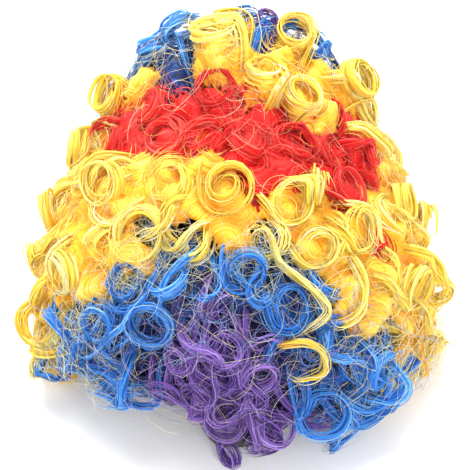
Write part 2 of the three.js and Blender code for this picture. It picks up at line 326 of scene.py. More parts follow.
def mapOf(material, name):
    node = addNode(material, "UVMap", {})
    node.uv_map = name
    return node.outputs["UV"]


def addMath(material, operation, *values):
    node = addNode(material, "Math", dict(enumerate(values)))
    node.operation = operation
    return node.outputs["Value"]


def addMix(material, factor, first, second):
    node = addNode(material, "Mix", {})
    node.data_type = "RGBA"
    feed(material, node, {"Factor": factor, "A": first, "B": second})
    return node.outputs["Result"]


def addRange(material, value, inputs):
    return addNode(material, "MapRange", {"Value": value, **inputs}).outputs["Result"]


def buildStudio():
    bm = bmesh.new()
    bmesh.ops.create_grid(bm, x_segments=1, y_segments=1, size=studio["floorHalf"])
    floor = addObject("table_top", meshFrom(bm, "table_top"))
    material = newMaterial("pale_table")
    feedSurface(material, {"Base Color": (0.9, 0.9, 0.9, 1), "Roughness": 0.7})
    floor.data.materials.append(material)
    addLamp("key_lamp", studio["keyPlace"], studio["keySize"], studio["keyPower"])
    addLamp("fill_lamp", studio["fillPlace"], studio["fillSize"], studio["fillPower"])
    world = bpy.data.worlds.new("studio_world")
    world.use_nodes = True
    feed(world, world.node_tree.nodes["Background"], {"Color": (1, 1, 1, 1), "Strength": studio["world"]})
    bpy.context.scene.world = world
    bpy.context.scene.view_settings.view_transform = "Standard"


buildStudio()
print("studio ready")

# hair finishes: tones of each dye, from the darkest, which also paints the shade at the roots and in the
# creases, to the palest loose hairs
hairDyesAndShade = {
    "hair_purple": [(0.01, 0.004, 0.034), (0.12, 0.042, 0.36), (0.32, 0.15, 0.63), (0.62, 0.47, 0.82)],
    "hair_blue": [(0.007, 0.014, 0.075), (0.012, 0.17, 0.7), (0.06, 0.37, 0.95), (0.36, 0.66, 1.0)],
    "hair_yellow": [(0.85, 0.36, 0.012), (1.0, 0.66, 0.045), (1.0, 0.84, 0.2), (1.0, 0.95, 0.7)],
    "hair_red": [(0.3, 0.0, 0.0), (0.8, 0.006, 0.006), (0.96, 0.022, 0.016), (1.0, 0.22, 0.15)],
}
hairTones = [0.15, 0.42, 0.7, 1.0]  # where the tones lie on the ramp


# satin fibre: tone is each strand's own shade of its dye, and on the matted hair and wisps it also holds
# painted shade in the creases and painted light on the puffs' tops; reach runs from root to tip and
# darkens the roots as painted shade, and the fibre map runs along a strand in metres and round it
def hairMaterial(slot):
    dyeAndShade = [(*colour, 1) for colour in hairDyesAndShade[slot]]
    material = newMaterial(slot + "_fibre")
    stretch = addNode(material, "Mapping", {"Vector": mapOf(material, "fibre"), "Scale": (24, 13, 1)})
    noiseInputs = {"Vector": stretch.outputs["Vector"], "Scale": 1, "Detail": 3, "Roughness": 0.6}
    streak = addNode(material, "TexNoise", noiseInputs).outputs["Fac"]
    vary = addMath(material, "MULTIPLY_ADD", streak, 1.3, -0.65)
    toned = addMath(material, "ADD", attributeOf(material, "tone"), vary)
    shade = addNode(material, "ValToRGB", {"Fac": toned})
    ramp = shade.color_ramp.elements
    ramp[0].position, ramp[0].color = hairTones[0], dyeAndShade[0]
    ramp[1].position, ramp[1].color = hairTones[3], dyeAndShade[3]
    for position, colour in zip(hairTones[1:3], dyeAndShade[1:3]):
        ramp.new(position).color = colour
    # painted shade at the roots: where reach is under 0.3 the colour goes towards the darkest tone
    rootSpan = {"From Max": 0.3, "To Min": 0.8, "To Max": 0.0}
    rootShade = addRange(material, attributeOf(material, "reach"), rootSpan)
    bump = addNode(material, "Bump", {"Height": streak, "Strength": 0.5, "Distance": 0.4 * mm})
    feedSurface(material, {
        "Base Color": addMix(material, rootShade, shade.outputs["Color"], dyeAndShade[0]),
        "Roughness": addRange(material, streak, {"To Min": 0.5, "To Max": 0.65}),
        "Normal": bump.outputs["Normal"],
        "Subsurface Weight": 0.35,  # light goes a little way through the hair
        "Subsurface Radius": (1.0, 0.7, 0.4),
        "Subsurface Scale": 2.5 * mm,
        "Specular IOR Level": 0.35,
        "Sheen Weight": 0.1,
        "Sheen Roughness": 0.4,
    })
    return material


hairFinish = {slot: hairMaterial(slot) for slot in hairDyesAndShade}
print("hair finishes made")

# a lock of hair
lockShape = {
    "points": 17,
    "mainPoints": 33,  # on the main curls
    "fineSteps": 10,  # between the points that a path goes through
    "rootShare": 0.45,  # of the way out from the cap
    "bendAt": 0.55,  # of the tail, and how far out it lies there
    "bendShare": 0.78,
    "tail": 24,  # how many millimetres up the hair a curl is rooted
    "turns": 1.2,
    "stepsPerTurn": 8,
    "pitch": 4.5 * mm,
    "shrink": 0.2,  # how much smaller a curl's ring gets
    "uneven": 0.07,  # how far a ring is from round
    "proud": 7 * mm,  # how far strands may leave the box of the solids
    "floorGap": 0.4 * mm,
    "hemDrop": 6 * mm,  # how far loops may hang below the hem
    "hemSoft": 2 * mm,
    "scatter": 0.7,  # of strands across a lock
    "swell": 0.3,  # how much its width changes along it
    "swellWaves": 1.3,
    "rootWidth": 0.6,  # share of the full width, which it has from here on
    "rootSpan": 0.25,
    "tipFrom": 0.85,  # where its strands start to part
    "tipFlare": 2.0,
    "swayWaves": (0.7, 2.2),
    "radiusVary": (0.75, 1.25),
    "rootTaper": 0.4,
    "tipTaper": 0.12,
    "shades": (0.36, 0.62),
}
# what a lock is made of: flat tresses, fine strands round them, and one that strays;
# even is how evenly they lie across it, and widen how much a broad lock thickens them
lockLayers = [
    {"strands": 6, "wide": 2.1 * mm, "deep": 1.0 * mm, "radius": 1.15 * mm, "flatness": 0.45, "roll": 0.7,
     "even": 0.8, "widen": 0.6, "sway": 0.8 * mm, "starts": (0, 0.02), "ends": (0.72, 0.98),
     "tone": 0.0, "vary": 0.12},
    {"strands": 8, "wide": 2.6 * mm, "deep": 1.5 * mm, "radius": 0.36 * mm, "flatness": 0.7, "roll": 3.14,
     "even": 0.8, "widen": 0.1, "sway": 1.2 * mm, "starts": (0, 0.05), "ends": (0.8, 1.0),
     "tone": 0.06, "vary": 0.18},
    {"strands": 1, "wide": 4.5 * mm, "deep": 4 * mm, "radius": 0.15 * mm, "flatness": 1, "roll": 3.14,
     "even": 0.0, "widen": 0.0, "sway": 1.6 * mm, "starts": (0.1, 0.4), "ends": (0.85, 1.0),
     "tone": 0.25, "vary": 0.2},
]


# a smooth path through a few points, with an even step
def smoothPath(points, count):
    points = np.asarray(points)
    padded = np.vstack([2 * points[0] - points[1], points, 2 * points[-1] - points[-2]])
    t = np.linspace(0, 1, lockShape["fineSteps"], endpoint=False)[:, None]
    fine = []
    for a, b, c, d in zip(padded, padded[1:], padded[2:], padded[3:]):
        bend = (2 * a - 5 * b + 4 * c - d) * t * t + (3 * b - a - 3 * c + d) * t ** 3
        fine.append(0.5 * (2 * b + (c - a) * t + bend))
    fine = np.vstack(fine + [points[-1:]])
    run = np.concatenate([[0], np.cumsum(np.linalg.norm(np.diff(fine, axis=0), axis=1))])
    even = np.linspace(0, run[-1], count)
    return np.stack([np.interp(even, run, fine[:, axis]) for axis in range(3)], axis=1)


# the axis of a ring, and the two directions it winds through
def ringAxes(curl, point):
    out, front, right = hairAxes(point)
    spin, tilt = math.radians(curl["spin"]), math.radians(curl["tilt"])
    lean = math.cos(spin) * front + math.sin(spin) * right
    axis = math.cos(tilt) * out + math.sin(tilt) * lean
    rise = math.sin(tilt) * out - math.cos(tilt) * lean
    return axis, rise, curl.get("hand", 1) * np.cross(rise, axis)


# a ring curl: from its root it lies down along the hair, then winds round
def ringPath(curl, points):
    middle = hairPoint(curl["side"], curl["along"], 1.0)
    out, down = fallAxes(middle)[:2]
    axis, rise, start = ringAxes(curl, middle)
    ring = curl["ring"] * mm
    # it begins where the ring runs the way the hair falls
    first = math.atan2(-np.dot(down, start), np.dot(down, rise))
    tail = curl.get("tail", lockShape["tail"]) * mm
    begin = middle + ring * (math.cos(first) * start + math.sin(first) * rise)
    root = ontoHair(begin - tail * down, lockShape["rootShare"])
    bends = [root, ontoHair(begin - lockShape["bendAt"] * tail * down, lockShape["bendShare"])]
    middle = middle + out * curl["lift"] * mm
    turns = curl.get("turns", lockShape["turns"])
    steps = int(turns * lockShape["stepsPerTurn"])
    wobble = rng.uniform(0, 2 * math.pi, 2)
    for step in range(steps + 1):
        angle = 2 * math.pi * turns * step / steps
        radius = ring * (1 - curl.get("shrink", lockShape["shrink"]) * step / steps)
        unround = math.sin(2 * angle + wobble[0]) + math.sin(0.7 * angle + wobble[1])
        radius *= 1 + lockShape["uneven"] * unround
        drift = lockShape["pitch"] * (angle / (2 * math.pi) - turns / 2)
        way = math.cos(first + angle) * start + math.sin(first + angle) * rise
        bends.append(middle + drift * axis + radius * way)
    return smoothPath(bends, points), axis


# walks lines over the hair: heading is the angle of each step from the way that hair falls
def walkOver(starts, heading, share, step):
    point = ontoHair(starts, share[:, 0])
    path = [point]
    for turn, height in zip(heading.T[:-1], share.T[1:]):
        down, across = fallAxes(point)[1:]
        way = np.cos(turn)[:, None] * down + np.sin(turn)[:, None] * across
        point = ontoHair(point + way * step, height)
        path.append(point)
    return np.stack(path, axis=1)


# locks that lie down the hair in waves and end in a hook
sweepShape = {
    "length": (50 * mm, 78 * mm),
    "wave": (34 * mm, 52 * mm),
    "swing": (0.25, 0.8),  # radians either side of the way it lies
    "lean": 0.5,  # radians from the way that hair falls
    "hookFrom": (0.4, 0.68),  # share of the length
    "hookRadius": (7 * mm, 11 * mm),
    "rise": 0.4,  # share of the length in which it comes up to the top
    "top": (0.88, 1.12),
    "curlLift": 0.09,
    "before": 0.3,  # share of the length that lies before the lock's place
}


def between(span, *shape):
    return rng.uniform(*span, shape)


def sweepPaths(places, reach):
    count, points = len(places), lockShape["points"]
    run = np.linspace(0, 1, points)[None, :]
    length = reach * between(sweepShape["length"], count, 1)
    hand = rng.choice([-1, 1], (count, 1))
    hookFrom = between(sweepShape["hookFrom"], count, 1)
    hook = np.clip(run - hookFrom, 0, 1) * length / between(sweepShape["hookRadius"], count, 1)
    waves = run * length / between(sweepShape["wave"], count, 1) + between((0, 1), count, 1)
    wave = between(sweepShape["swing"], count, 1) * np.sin(2 * math.pi * waves)
    heading = rng.normal(0, sweepShape["lean"], (count, 1)) + wave + hand * hook
    rise = np.clip(run / sweepShape["rise"], 0, 1)
    top = between(sweepShape["top"], count, 1)
    share = lockShape["rootShare"] + (top - lockShape["rootShare"]) * rise * rise * (3 - 2 * rise)
    share = share + sweepShape["curlLift"] * np.sin(hook + between((0, 2 * math.pi), count, 1)) * rise
    places = np.array(places)
    starts = places - fallAxes(places)[1] * sweepShape["before"] * length
    paths = walkOver(starts, heading, share, length / (points - 1))
    return paths, hairAxes(paths[:, points // 2])[0]


# directions across paths, turned along them without twist from the way each lies flat at its middle
def pathFrames(paths, flats):
    tangents = unit(np.gradient(paths, axis=1))
    across = np.zeros_like(paths)
    half = paths.shape[1] // 2

    def squared(way, index):
        tangent = tangents[:, index]
        return unit(way - np.sum(way * tangent, axis=-1, keepdims=True) * tangent)

    across[:, half] = squared(flats, half)
    for index in range(half + 1, paths.shape[1]):
        across[:, index] = squared(across[:, index - 1], index)
    for index in range(half - 1, -1, -1):
        across[:, index] = squared(across[:, index + 1], index)
    return across, np.cross(tangents, across)


# keeps hair from hanging far below its hem or standing far out of the part's box
def keepInside(points, room):
    low = np.array(cadBox[0]) - lockShape["proud"]
    high = np.array(cadBox[1]) + lockShape["proud"]
    low[2] = lockShape["floorGap"]
    x, y, z = np.moveaxis(np.clip(points, low + room, high - room), -1, 0)
    over = (z - hemAt(x - domeFoot[0], y - domeFoot[1]) + lockShape["hemDrop"]) / lockShape["hemSoft"]
    z = z + lockShape["hemSoft"] * (np.logaddexp(0, over) - over)
    return np.stack([x, y, z], axis=-1)


# one layer of strands along each lock's path
def layStrands(paths, flats, shades, layer, barrels, thin):
    locks, points = paths.shape[:2]
    count = layer["strands"]
    across, over = pathFrames(paths, flats)
    first, last = between(layer["starts"], locks, count, 1), between(layer["ends"], locks, count, 1)
    t = np.linspace(0, 1, points)
    reach = first + (last - first) * t
    low = np.minimum((reach * (points - 1)).astype(int), points - 2)
    part = (reach * (points - 1) - low)[..., None]
    lock = np.arange(locks)[:, None, None]
    line, ways, ups = (
        rows[lock, low] * (1 - part) + rows[lock, low + 1] * part for rows in (paths, across, over))
    scatter = lockShape["scatter"]
    spot = np.clip(rng.normal(0, scatter, (2, locks, count, 1)), -2 * scatter, 2 * scatter)
    order = np.argsort(np.argsort(spot[0], axis=1), axis=1)
    spot[0] += layer["even"] * ((2 * order + 1) / count - 1 - scatter * spot[0])
    waves = lockShape["swellWaves"] * reach + between((0, 1), locks, 1, 1)
    swell = 1 + lockShape["swell"] * (np.sin(2 * math.pi * waves) - 0.5)
    swell = swell * np.interp(reach, (0, lockShape["rootSpan"]), (lockShape["rootWidth"], 1))
    swell = swell + lockShape["tipFlare"] * np.clip(reach - lockShape["tipFrom"], 0, 1)
    waves = between(lockShape["swayWaves"], 2, locks, count, 1) * reach
    turn = 2 * math.pi * (waves + between((0, 1), 2, locks, count, 1))
    shift = np.array([layer["wide"], layer["deep"]])[:, None, None, None] * spot * swell
    shift[0] *= barrels[:, None, None]
    shift = shift + layer["sway"] * np.sin(turn)
    line = line + shift[0][..., None] * ways + shift[1][..., None] * ups
    roll = between((-layer["roll"], layer["roll"]), locks, count, 1)[..., None]
    ways, ups = np.cos(roll) * ways + np.sin(roll) * ups, np.cos(roll) * ups - np.sin(roll) * ways
    radius = thin * layer["radius"] * between(lockShape["radiusVary"], locks, count, 1)
    radius = radius * barrels[:, None, None] ** layer["widen"]
    taper = np.minimum(lockShape["rootTaper"] + 6 * t, lockShape["tipTaper"] + 4 * (1 - t)).clip(max=1)
    tones = shades[:, None] + layer["tone"] + rng.normal(0, layer["vary"], (locks, count))
    line = keepInside(line, layer["radius"])
    return {
        "middles": line.reshape(-1, points, 3),
        "across": ways.reshape(-1, points, 3),
        "over": ups.reshape(-1, points, 3),
        "radii": (radius * taper).reshape(-1, points),
        "reach": reach.reshape(-1, points),
        "tones": np.clip(tones, 0, 1).ravel(),
    }


# closed tubes round strands, with their shade, reach and fibre map
def tubeArrays(strands, flatness):
    sides = 3
    middles = strands["middles"]
    count, steps = middles.shape[:2]
    turn = 2 * math.pi * np.arange(sides) / sides
    ring = np.cos(turn)[:, None] * strands["across"][:, :, None, :]
    ring = ring + flatness * np.sin(turn)[:, None] * strands["over"][:, :, None, :]
    corners = middles[:, :, None, :] + strands["radii"][:, :, None, None] * ring
    index = np.arange(count * steps * sides).reshape(count, steps, sides)
    beside = np.roll(index, -1, axis=2)
    quads = np.stack([index[:, :-1], beside[:, :-1], beside[:, 1:], index[:, 1:]], axis=-1)
    quads = quads.reshape(-1, 4)
    caps = np.concatenate([index[:, 0, ::-1], index[:, -1]])
    run = np.cumsum(np.linalg.norm(np.diff(middles, axis=1, prepend=middles[:, :1]), axis=2), axis=1)
    row = np.arange(count)[:, None, None] + np.arange(sides + 1)[None, None, :] / sides
    share = np.linspace(0, 1, steps)[None, :, None]
    grids = [np.stack(np.broadcast_arrays(u, row), axis=-1) for u in (share, run[:, :, None])]
    maps = []
    for grid in grids:
        low, high = grid[:, :-1], grid[:, 1:]
        walls = np.stack([low[:, :, :-1], low[:, :, 1:], high[:, :, 1:], high[:, :, :-1]], axis=-2)
        ends = np.concatenate([grid[:, 0, sides - 1 :: -1], grid[:, -1, :sides]])
        maps.append(np.concatenate([walls.reshape(-1, 2), ends.reshape(-1, 2)]))
    return {
        "corners": corners.reshape(-1, 3),
        "faces": quads.tolist() + caps.tolist(),
        "tone": np.repeat(strands["tones"], steps * sides),
        "reach": np.repeat(strands["reach"].ravel(), sides),
        "rowMap": maps[0],
        "fibreMap": maps[1],
        "rows": count,
        "triangles": 2 * len(quads) + len(caps) * (sides - 2),
    }


# one mesh of many strands, each in a row of its own in the maps
def strandPiece(name, parts, slot, finish=None):
    faces, rowMaps, fibreMaps, first, row = [], [], [], 0, 0
    for part in parts:
        faces += [[first + corner for corner in face] for face in part["faces"]]
        rowMaps.append(part["rowMap"] + np.array([0, row]))
        fibreMaps.append(part["fibreMap"] + np.array([0, row]))
        first += len(part["corners"])
        row += part["rows"]
    mesh = bpy.data.meshes.new(name)
    mesh.from_pydata(np.concatenate([part["corners"] for part in parts]), [], faces)
    mesh.polygons.foreach_set("use_smooth", np.ones(len(mesh.polygons), dtype=bool))
    for label in ("tone", "reach"):
        values = np.concatenate([part[label] for part in parts])
        mesh.attributes.new(label, "FLOAT", "POINT").data.foreach_set("value", values)
    bake = mesh.uv_layers.new(name="OFBake")
    bake.data.foreach_set("uv", (np.concatenate(rowMaps) / np.array([1, row])).ravel())
    fibre = mesh.uv_layers.new(name="fibre")
    fibre.data.foreach_set("uv", np.concatenate(fibreMaps).ravel())
    piece = addObject(name, mesh)
    mesh.materials.append(finish or hairFinish[slot])
    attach(piece, "root")
    print(name, sum(part["triangles"] for part in parts), "triangles")
    return piece


# a curl by its place, side and along; its ring's radius and lift, in millimetres; the tilt of its axis
# and which way that leans, in degrees; and what differs from other locks
def ringCurl(side, along, ring, lift, tilt, spin, **more):
    return dict(side=side, along=along, ring=ring, lift=lift, tilt=tilt, spin=spin, **more)


# the main curls of each band, as they lie on the wig: barrel makes one broader,
# and round names the band that shows inside it
purpleCurls = [
    ringCurl(-4, -0.86, 9, 0, 25, 160),
    ringCurl(12, -0.92, 10, 1, 20, 20),
    ringCurl(-47, -0.93, 9, 0, 30, 300),
    ringCurl(-9, -0.985, 9.5, 3, 40, 150, barrel=1.4),
    ringCurl(58, -0.985, 9.5, 3, 45, 230, turns=0.8, barrel=1.5),
    ringCurl(-172, -0.975, 7.5, 3, 55, 60, barrel=1.4),
]
blueCurls = [
    ringCurl(-47, -0.71, 10, 3, 10, 0),
    ringCurl(-68, -0.6, 10, 0, 35, 280),
    ringCurl(-92, -0.64, 9, 2, 60, 200),
    ringCurl(-29, -0.76, 12, 3, 20, 30, turns=2, shrink=0.35),
    ringCurl(-20, -0.64, 9, 0, 45, 180),
    ringCurl(3, -0.63, 10, 1, 30, 0),
    ringCurl(17, -0.73, 11, 2, 15, 90),
    ringCurl(68, -0.8, 12, 1, 15, 60, turns=2, shrink=0.5),
    ringCurl(64, -0.94, 12, 7, 45, 270, shrink=0.05),
]
# blue locks that hang in wide loops at the right, as places of side, along and share
blueLoops = [
    [(44, -0.9, 0.8), (68, -0.93, 1.04), (96, -0.9, 1.1), (102, -0.83, 1.1), (94, -0.8, 1.1),
     (80, -0.77, 1.06), (66, -0.78, 0.98)],
    [(47, -0.88, 0.8), (66, -0.9, 1.06), (82, -0.88, 1.12), (82, -0.84, 1.12), (70, -0.81, 1.1),
     (58, -0.81, 1.04)],
]
blueTufts = [
    ringCurl(-31, 0.49, 8.5, 1, 30, 180, barrel=1.8),
    ringCurl(-20, 0.52, 10, 6, 50, 200, barrel=1.6),
    ringCurl(4, 0.56, 10, 4, 40, 180, barrel=1.6),
    ringCurl(30, 0.53, 10, 3, 50, 160, barrel=1.6),
]
purpleTufts = [
    ringCurl(10.5, 0.49, 6.5, 3, 40, 0, barrel=2.6),
]
# blue locks that arch up the left of the crest and down its right, as places of side, along and share
blueArches = [
    [(-50, 0.4, 0.6), (-42, 0.45, 0.92), (-35, 0.48, 1.06), (-25, 0.5, 1.12), (-16, 0.52, 1.16),
     (-9, 0.52, 1.1)],
    [(-47, 0.44, 0.6), (-38, 0.48, 0.92), (-29, 0.51, 1.05), (-20, 0.53, 1.16), (-12, 0.54, 1.14),
     (-6, 0.5, 1.0)],
    [(14, 0.5, 0.9), (20, 0.53, 1.12), (27, 0.53, 1.14), (36, 0.52, 1.1), (43, 0.5, 1.0), (48, 0.47, 0.9)],
]
yellowFrontCurls = [
    ringCurl(-38, -0.13, 13, -1, 25, 330, barrel=2.5),
    ringCurl(-66, -0.03, 11, 4, 35, 270, barrel=1.6),
    ringCurl(-80, -0.14, 11, 2, 25, 270, barrel=1.6),
    ringCurl(-2, -0.3, 14, 0, 15, 0, turns=2.4, shrink=0.75, barrel=2.4),
    ringCurl(14, -0.36, 11, 3, 15, 40, barrel=1.6),
    ringCurl(21, -0.27, 9, 5, 70, 90, barrel=1.4),
    ringCurl(22, -0.52, 9.5, 2, 20, 20),
    ringCurl(34, -0.4, 10.5, 3, 20, 60, barrel=1.6),
    ringCurl(55, -0.1, 11, 1, 20, 90, barrel=2),
    ringCurl(-26, -0.44, 12.5, -1, 20, 0, shrink=0, barrel=2.1, round="hair_blue_front"),
    ringCurl(-56, -0.44, 11, 1, 15, 300, barrel=1.8),
    ringCurl(-88, -0.34, 11, -6, 20, 270, barrel=2),
    ringCurl(83, -0.3, 9.5, 0, 72, 0, shrink=0.1, barrel=1.3),
    ringCurl(71, -0.05, 11, 4, 25, 90, barrel=2),
    ringCurl(60, -0.5, 12, 1, 20, 60, barrel=2),
    ringCurl(98, -0.5, 12, 3, 20, 90, barrel=2),
    ringCurl(-102, -0.5, 11, -3, 20, 270, barrel=2),
]
redCurls = [
    ringCurl(-6, 0.18, 10.5, 2, 20, 350),
    ringCurl(-26, 0.18, 9.5, 0, 30, 300),
    ringCurl(-20, 0.02, 11, -1, 15, 0),
    ringCurl(-40, 0.12, 9, -2, 30, 280),
    ringCurl(4, -0.06, 10, -1, 40, 120),
    ringCurl(16, -0.04, 11, -1, 15, 20),
    ringCurl(29, -0.03, 10.5, 0, 25, 60),
    ringCurl(32, -0.21, 10.5, 0, 15, 90),
    ringCurl(42, -0.02, 9, 1, 35, 90),
    ringCurl(45, -0.39, 8, -7, 20, 60, round="hair_red_crown"),
]
yellowBackCurls = [
    ringCurl(-2, 0.48, 10, 4, 15, 20, barrel=1.6, tail=9),
    ringCurl(-6, 0.36, 12, 8, 4, 200, barrel=2.4, tail=12),
    ringCurl(21, 0.45, 9.5, 6, 35, 350, turns=1.8, barrel=2, tail=10),
    ringCurl(9, 0.22, 11, 4, 4, 180, barrel=2.2, tail=10),
    ringCurl(20, 0.18, 11, 3, 20, 30, barrel=1.4, tail=10),
    ringCurl(46, 0.4, 12, 8, 40, 20, turns=2, shrink=0.4, barrel=2.4),
    ringCurl(52, 0.38, 11, 2, 30, 40, barrel=2),
    ringCurl(-48, 0.38, 12, 4, 35, 330, barrel=2),
    ringCurl(-62, 0.28, 12, 4, 25, 300, barrel=2),
    ringCurl(64, 0.2, 11, -5, 25, 60, barrel=2),
    ringCurl(-84, 0.36, 11.5, 3, 20, 270),
    ringCurl(84, 0.36, 11.5, 3, 20, 90),
]
# main locks that aren't rings, through places of side, along and share of the way out:
# a long tail that hangs over the blue, the open curl below it, and the loop beside them
yellowHanging = [
    [(8, -0.4, 0.6), (10, -0.51, 0.98), (12, -0.59, 1.06), (17, -0.63, 1.1), (23, -0.67, 1.14),
     (28, -0.72, 1.15), (24, -0.78, 1.13), (19, -0.82, 1.08)],
    [(16, -0.84, 1.04), (22, -0.815, 1.12), (27, -0.815, 1.14), (32, -0.83, 1.15), (37, -0.863, 1.15),
     (36, -0.888, 1.14), (30, -0.903, 1.12), (23, -0.9, 1.06)],
    [(34, -0.42, 0.6), (34, -0.53, 0.98), (38, -0.6, 1.05), (40, -0.67, 1.07), (38, -0.73, 1.06),
     (34, -0.755, 1.04), (29, -0.73, 1.0)],
]


# the back bands repeat the front ones, turned half round
def turnedRound(curls):
    turned = []
    for curl in curls:
        turned.append({**curl, "side": -curl["side"], "along": -curl["along"], "spin": curl["spin"] + 180})
    return turned


# rings and sweeps are the locks that fill a band between its main curls; puffs gives a band its own shares
# and tones for its puffs, the tones being painted shade in the creases and painted light on the tops
hairBands = [
    {"node": "hair_purple_front", "slot": "hair_purple", "rows": (-1.0, -0.7), "curls": purpleCurls,
     "rings": 8, "sweeps": 28, "thin": 0.6},
    {"node": "hair_blue_front", "slot": "hair_blue", "rows": (-1.0, -0.53), "curls": blueCurls,
     "hanging": blueLoops, "rings": 8, "sweeps": 44, "reach": 0.9},
    {"node": "hair_yellow_front", "slot": "hair_yellow", "rows": (-0.76, 0.03), "curls": yellowFrontCurls,
     "hanging": yellowHanging, "rings": 14, "sweeps": 36, "reach": 0.8},
    {"node": "hair_red_crown", "slot": "hair_red", "rows": (-0.32, 0.27), "curls": redCurls,
     "rings": 4, "sweeps": 14, "reach": 0.5},
    {"node": "hair_yellow_back", "slot": "hair_yellow", "rows": (0.03, 0.48), "curls": yellowBackCurls,
     "rings": 8, "sweeps": 22, "reach": 0.8, "puffs": {"shares": (0.88, 1.05), "tones": (0.07, 0.44)}},
    {"node": "hair_blue_back", "slot": "hair_blue", "rows": (0.35, 0.78),
     "curls": blueTufts + turnedRound(blueCurls), "hanging": blueArches, "rings": 8, "sweeps": 30,
     "reach": 0.9, "puffs": {"shares": (0.76, 1.0), "tones": (-0.12, 0.28)}},
    {"node": "hair_purple_back", "slot": "hair_purple", "rows": (0.78, 1.0),
     "curls": purpleTufts + turnedRound(purpleCurls), "rings": 6, "sweeps": 18, "thin": 0.6},
]
# how the locks that fill a band are placed, and what its rings are like
fillRoom = {
    "lowestSide": 108,
    "tries": 14,
    "choices": 6,
    "ring": (6.5, 10),
    "lift": (-7, 1),
    "tilt": (5, 65),
    "turns": (0.9, 1.5),
    "shrink": (0, 0.4),
}


# a place in a band that is far from those already taken
def openPlace(band, taken):
    places = []
    while len(places) < fillRoom["tries"]:
        side = rng.uniform(-fillRoom["lowestSide"], fillRoom["lowestSide"])
        along = rng.uniform(*band["rows"])
        if bandAt(side, along) == band["node"]:
            places.append((side, along, hairPoint(side, along, 1.0)))
    return max(places, key=lambda place: min(np.linalg.norm(place[2] - other) for other in taken))


def fillRing(side, along):
    curl = dict(side=side, along=along, spin=rng.uniform(0, 360), hand=rng.choice([-1, 1]))
    for key in ("ring", "lift", "tilt", "turns", "shrink"):
        curl[key] = rng.uniform(*fillRoom[key])
    return curl


# more sweeps than the band needs are laid out, and those that keep to it best are used
def bandSweeps(band, places):
    candidates = np.repeat(np.array(places), fillRoom["choices"], axis=0)
    paths, flats = sweepPaths(candidates, band.get("reach", 1.0))
    inBand = shareInBand(paths, band["node"]).reshape(-1, fillRoom["choices"])
    best = np.arange(len(places)) * fillRoom["choices"] + np.argmax(inBand, axis=1)
    return paths[best], flats[best]


def buildBand(band):
    taken = [hairPoint(curl["side"], curl["along"], 1.0) for curl in band["curls"]]
    rings, sweepPlaces = [], []
    for extra in range(band["rings"] + band["sweeps"]):
        side, along, point = openPlace(band, taken)
        taken.append(point)
        if extra < band["rings"]:
            rings.append(fillRing(side, along))
        else:
            sweepPlaces.append(point)
    mains = [(*ringPath(curl, lockShape["mainPoints"]), curl.get("barrel", 1)) for curl in band["curls"]]
    for route in band.get("hanging", []):
        path = smoothPath([hairPoint(*place) for place in route], lockShape["mainPoints"])
        mains.append((path, hairAxes(path[len(path) // 2])[0], 1))
    fills = [(*ringPath(curl, lockShape["points"]), 1) for curl in rings]
    fills += [(path, flat, 1) for path, flat in zip(*bandSweeps(band, sweepPlaces))]
    parts = []
    for locks in (mains, fills):
        paths, flats, barrels = (np.array(column) for column in zip(*locks))
        shades = between(lockShape["shades"], len(paths))
        for layer in lockLayers:
            strands = layStrands(paths, flats, shades, layer, barrels, band.get("thin", 1))
            parts.append(tubeArrays(strands, layer["flatness"]))
    piece = strandPiece(band["node"] + "_locks", parts, band["slot"])
    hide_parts(band["node"])


for hairBand in hairBands:
    buildBand(hairBand)
print("locks laid")

# the rounded puffs that the hair gathers into: one under each main curl, and more between them
puffShape = {
    "count": 240,
    "tries": 14,
    "size": 10 * mm,
    "swirlOff": (0.3, 1.5),  # how far the middle of its fibre's swirl lies from its own middle
    "smallPull": 1.5,  # for puffs that give way to those round them
    "wave": 4 * mm,
    "waveSize": 8 * mm,
    "roundness": 0.75,
}
# how far out the hair of each dye lies, and its tones, from the creases between puffs to their tops;
# the low tones in the creases are painted shade and the high ones on the tops painted light
puffLooks = {
    "hair_purple": {"shares": (0.64, 0.86), "tones": (-0.2, 0.16)},
    "hair_blue": {"shares": (0.64, 0.86), "tones": (-0.06, 0.2)},
    "hair_yellow": {"shares": (0.87, 1.0), "tones": (0.07, 0.44)},
    "hair_red": {"shares": (0.84, 0.99), "tones": (0.24, 0.48)},
}


def gatherPuffs():
    points, nodes, pulls = [], [], []
    for band in hairBands:
        for curl in band["curls"]:
            points.append(hairPoint(curl["side"], curl["along"], 1.0))
            nodes.append(curl.get("round", band["node"]))
            pulls.append(puffShape["smallPull"] if "round" in curl else 1.0)
    mains = len(points)
    while len(points) < puffShape["count"]:
        sides = between((-fillRoom["lowestSide"], fillRoom["lowestSide"]), puffShape["tries"])
        alongs = between((-1, 1), puffShape["tries"])
        spots = hairPoint(sides, alongs, 1.0)
        room = np.linalg.norm(spots[:, None] - np.array(points)[None], axis=2).min(axis=1)
        best = np.argmax(room)
        points.append(spots[best])
        nodes.append(bandAt(sides[best], alongs[best]))
        pulls.append(1.0)
    points = np.array(points)
    front, right = hairAxes(points)[1:]
    turn, far = between((0, 2 * math.pi), len(points), 1), between(puffShape["swirlOff"], len(points), 1)
    far[:mains] = 0
    swirls = points + puffShape["size"] * far * (np.cos(turn) * right + np.sin(turn) * front)
    return points, np.array(nodes), np.array(pulls), swirls


puffPoints, puffNodes, puffPulls, puffSwirls = gatherPuffs()


# shifts points in soft waves, so that puffs aren't round
def ruffled(points):
    x, y, z = np.moveaxis(points / puffShape["waveSize"], -1, 0)
    inner = [0.7 * z, 0.8 * x, 0.9 * y]
    waves = [np.sin(outer + 2 * np.sin(turn)) for outer, turn in zip((y, z, x), inner)]
    return points + puffShape["wave"] * np.stack(waves, axis=-1)


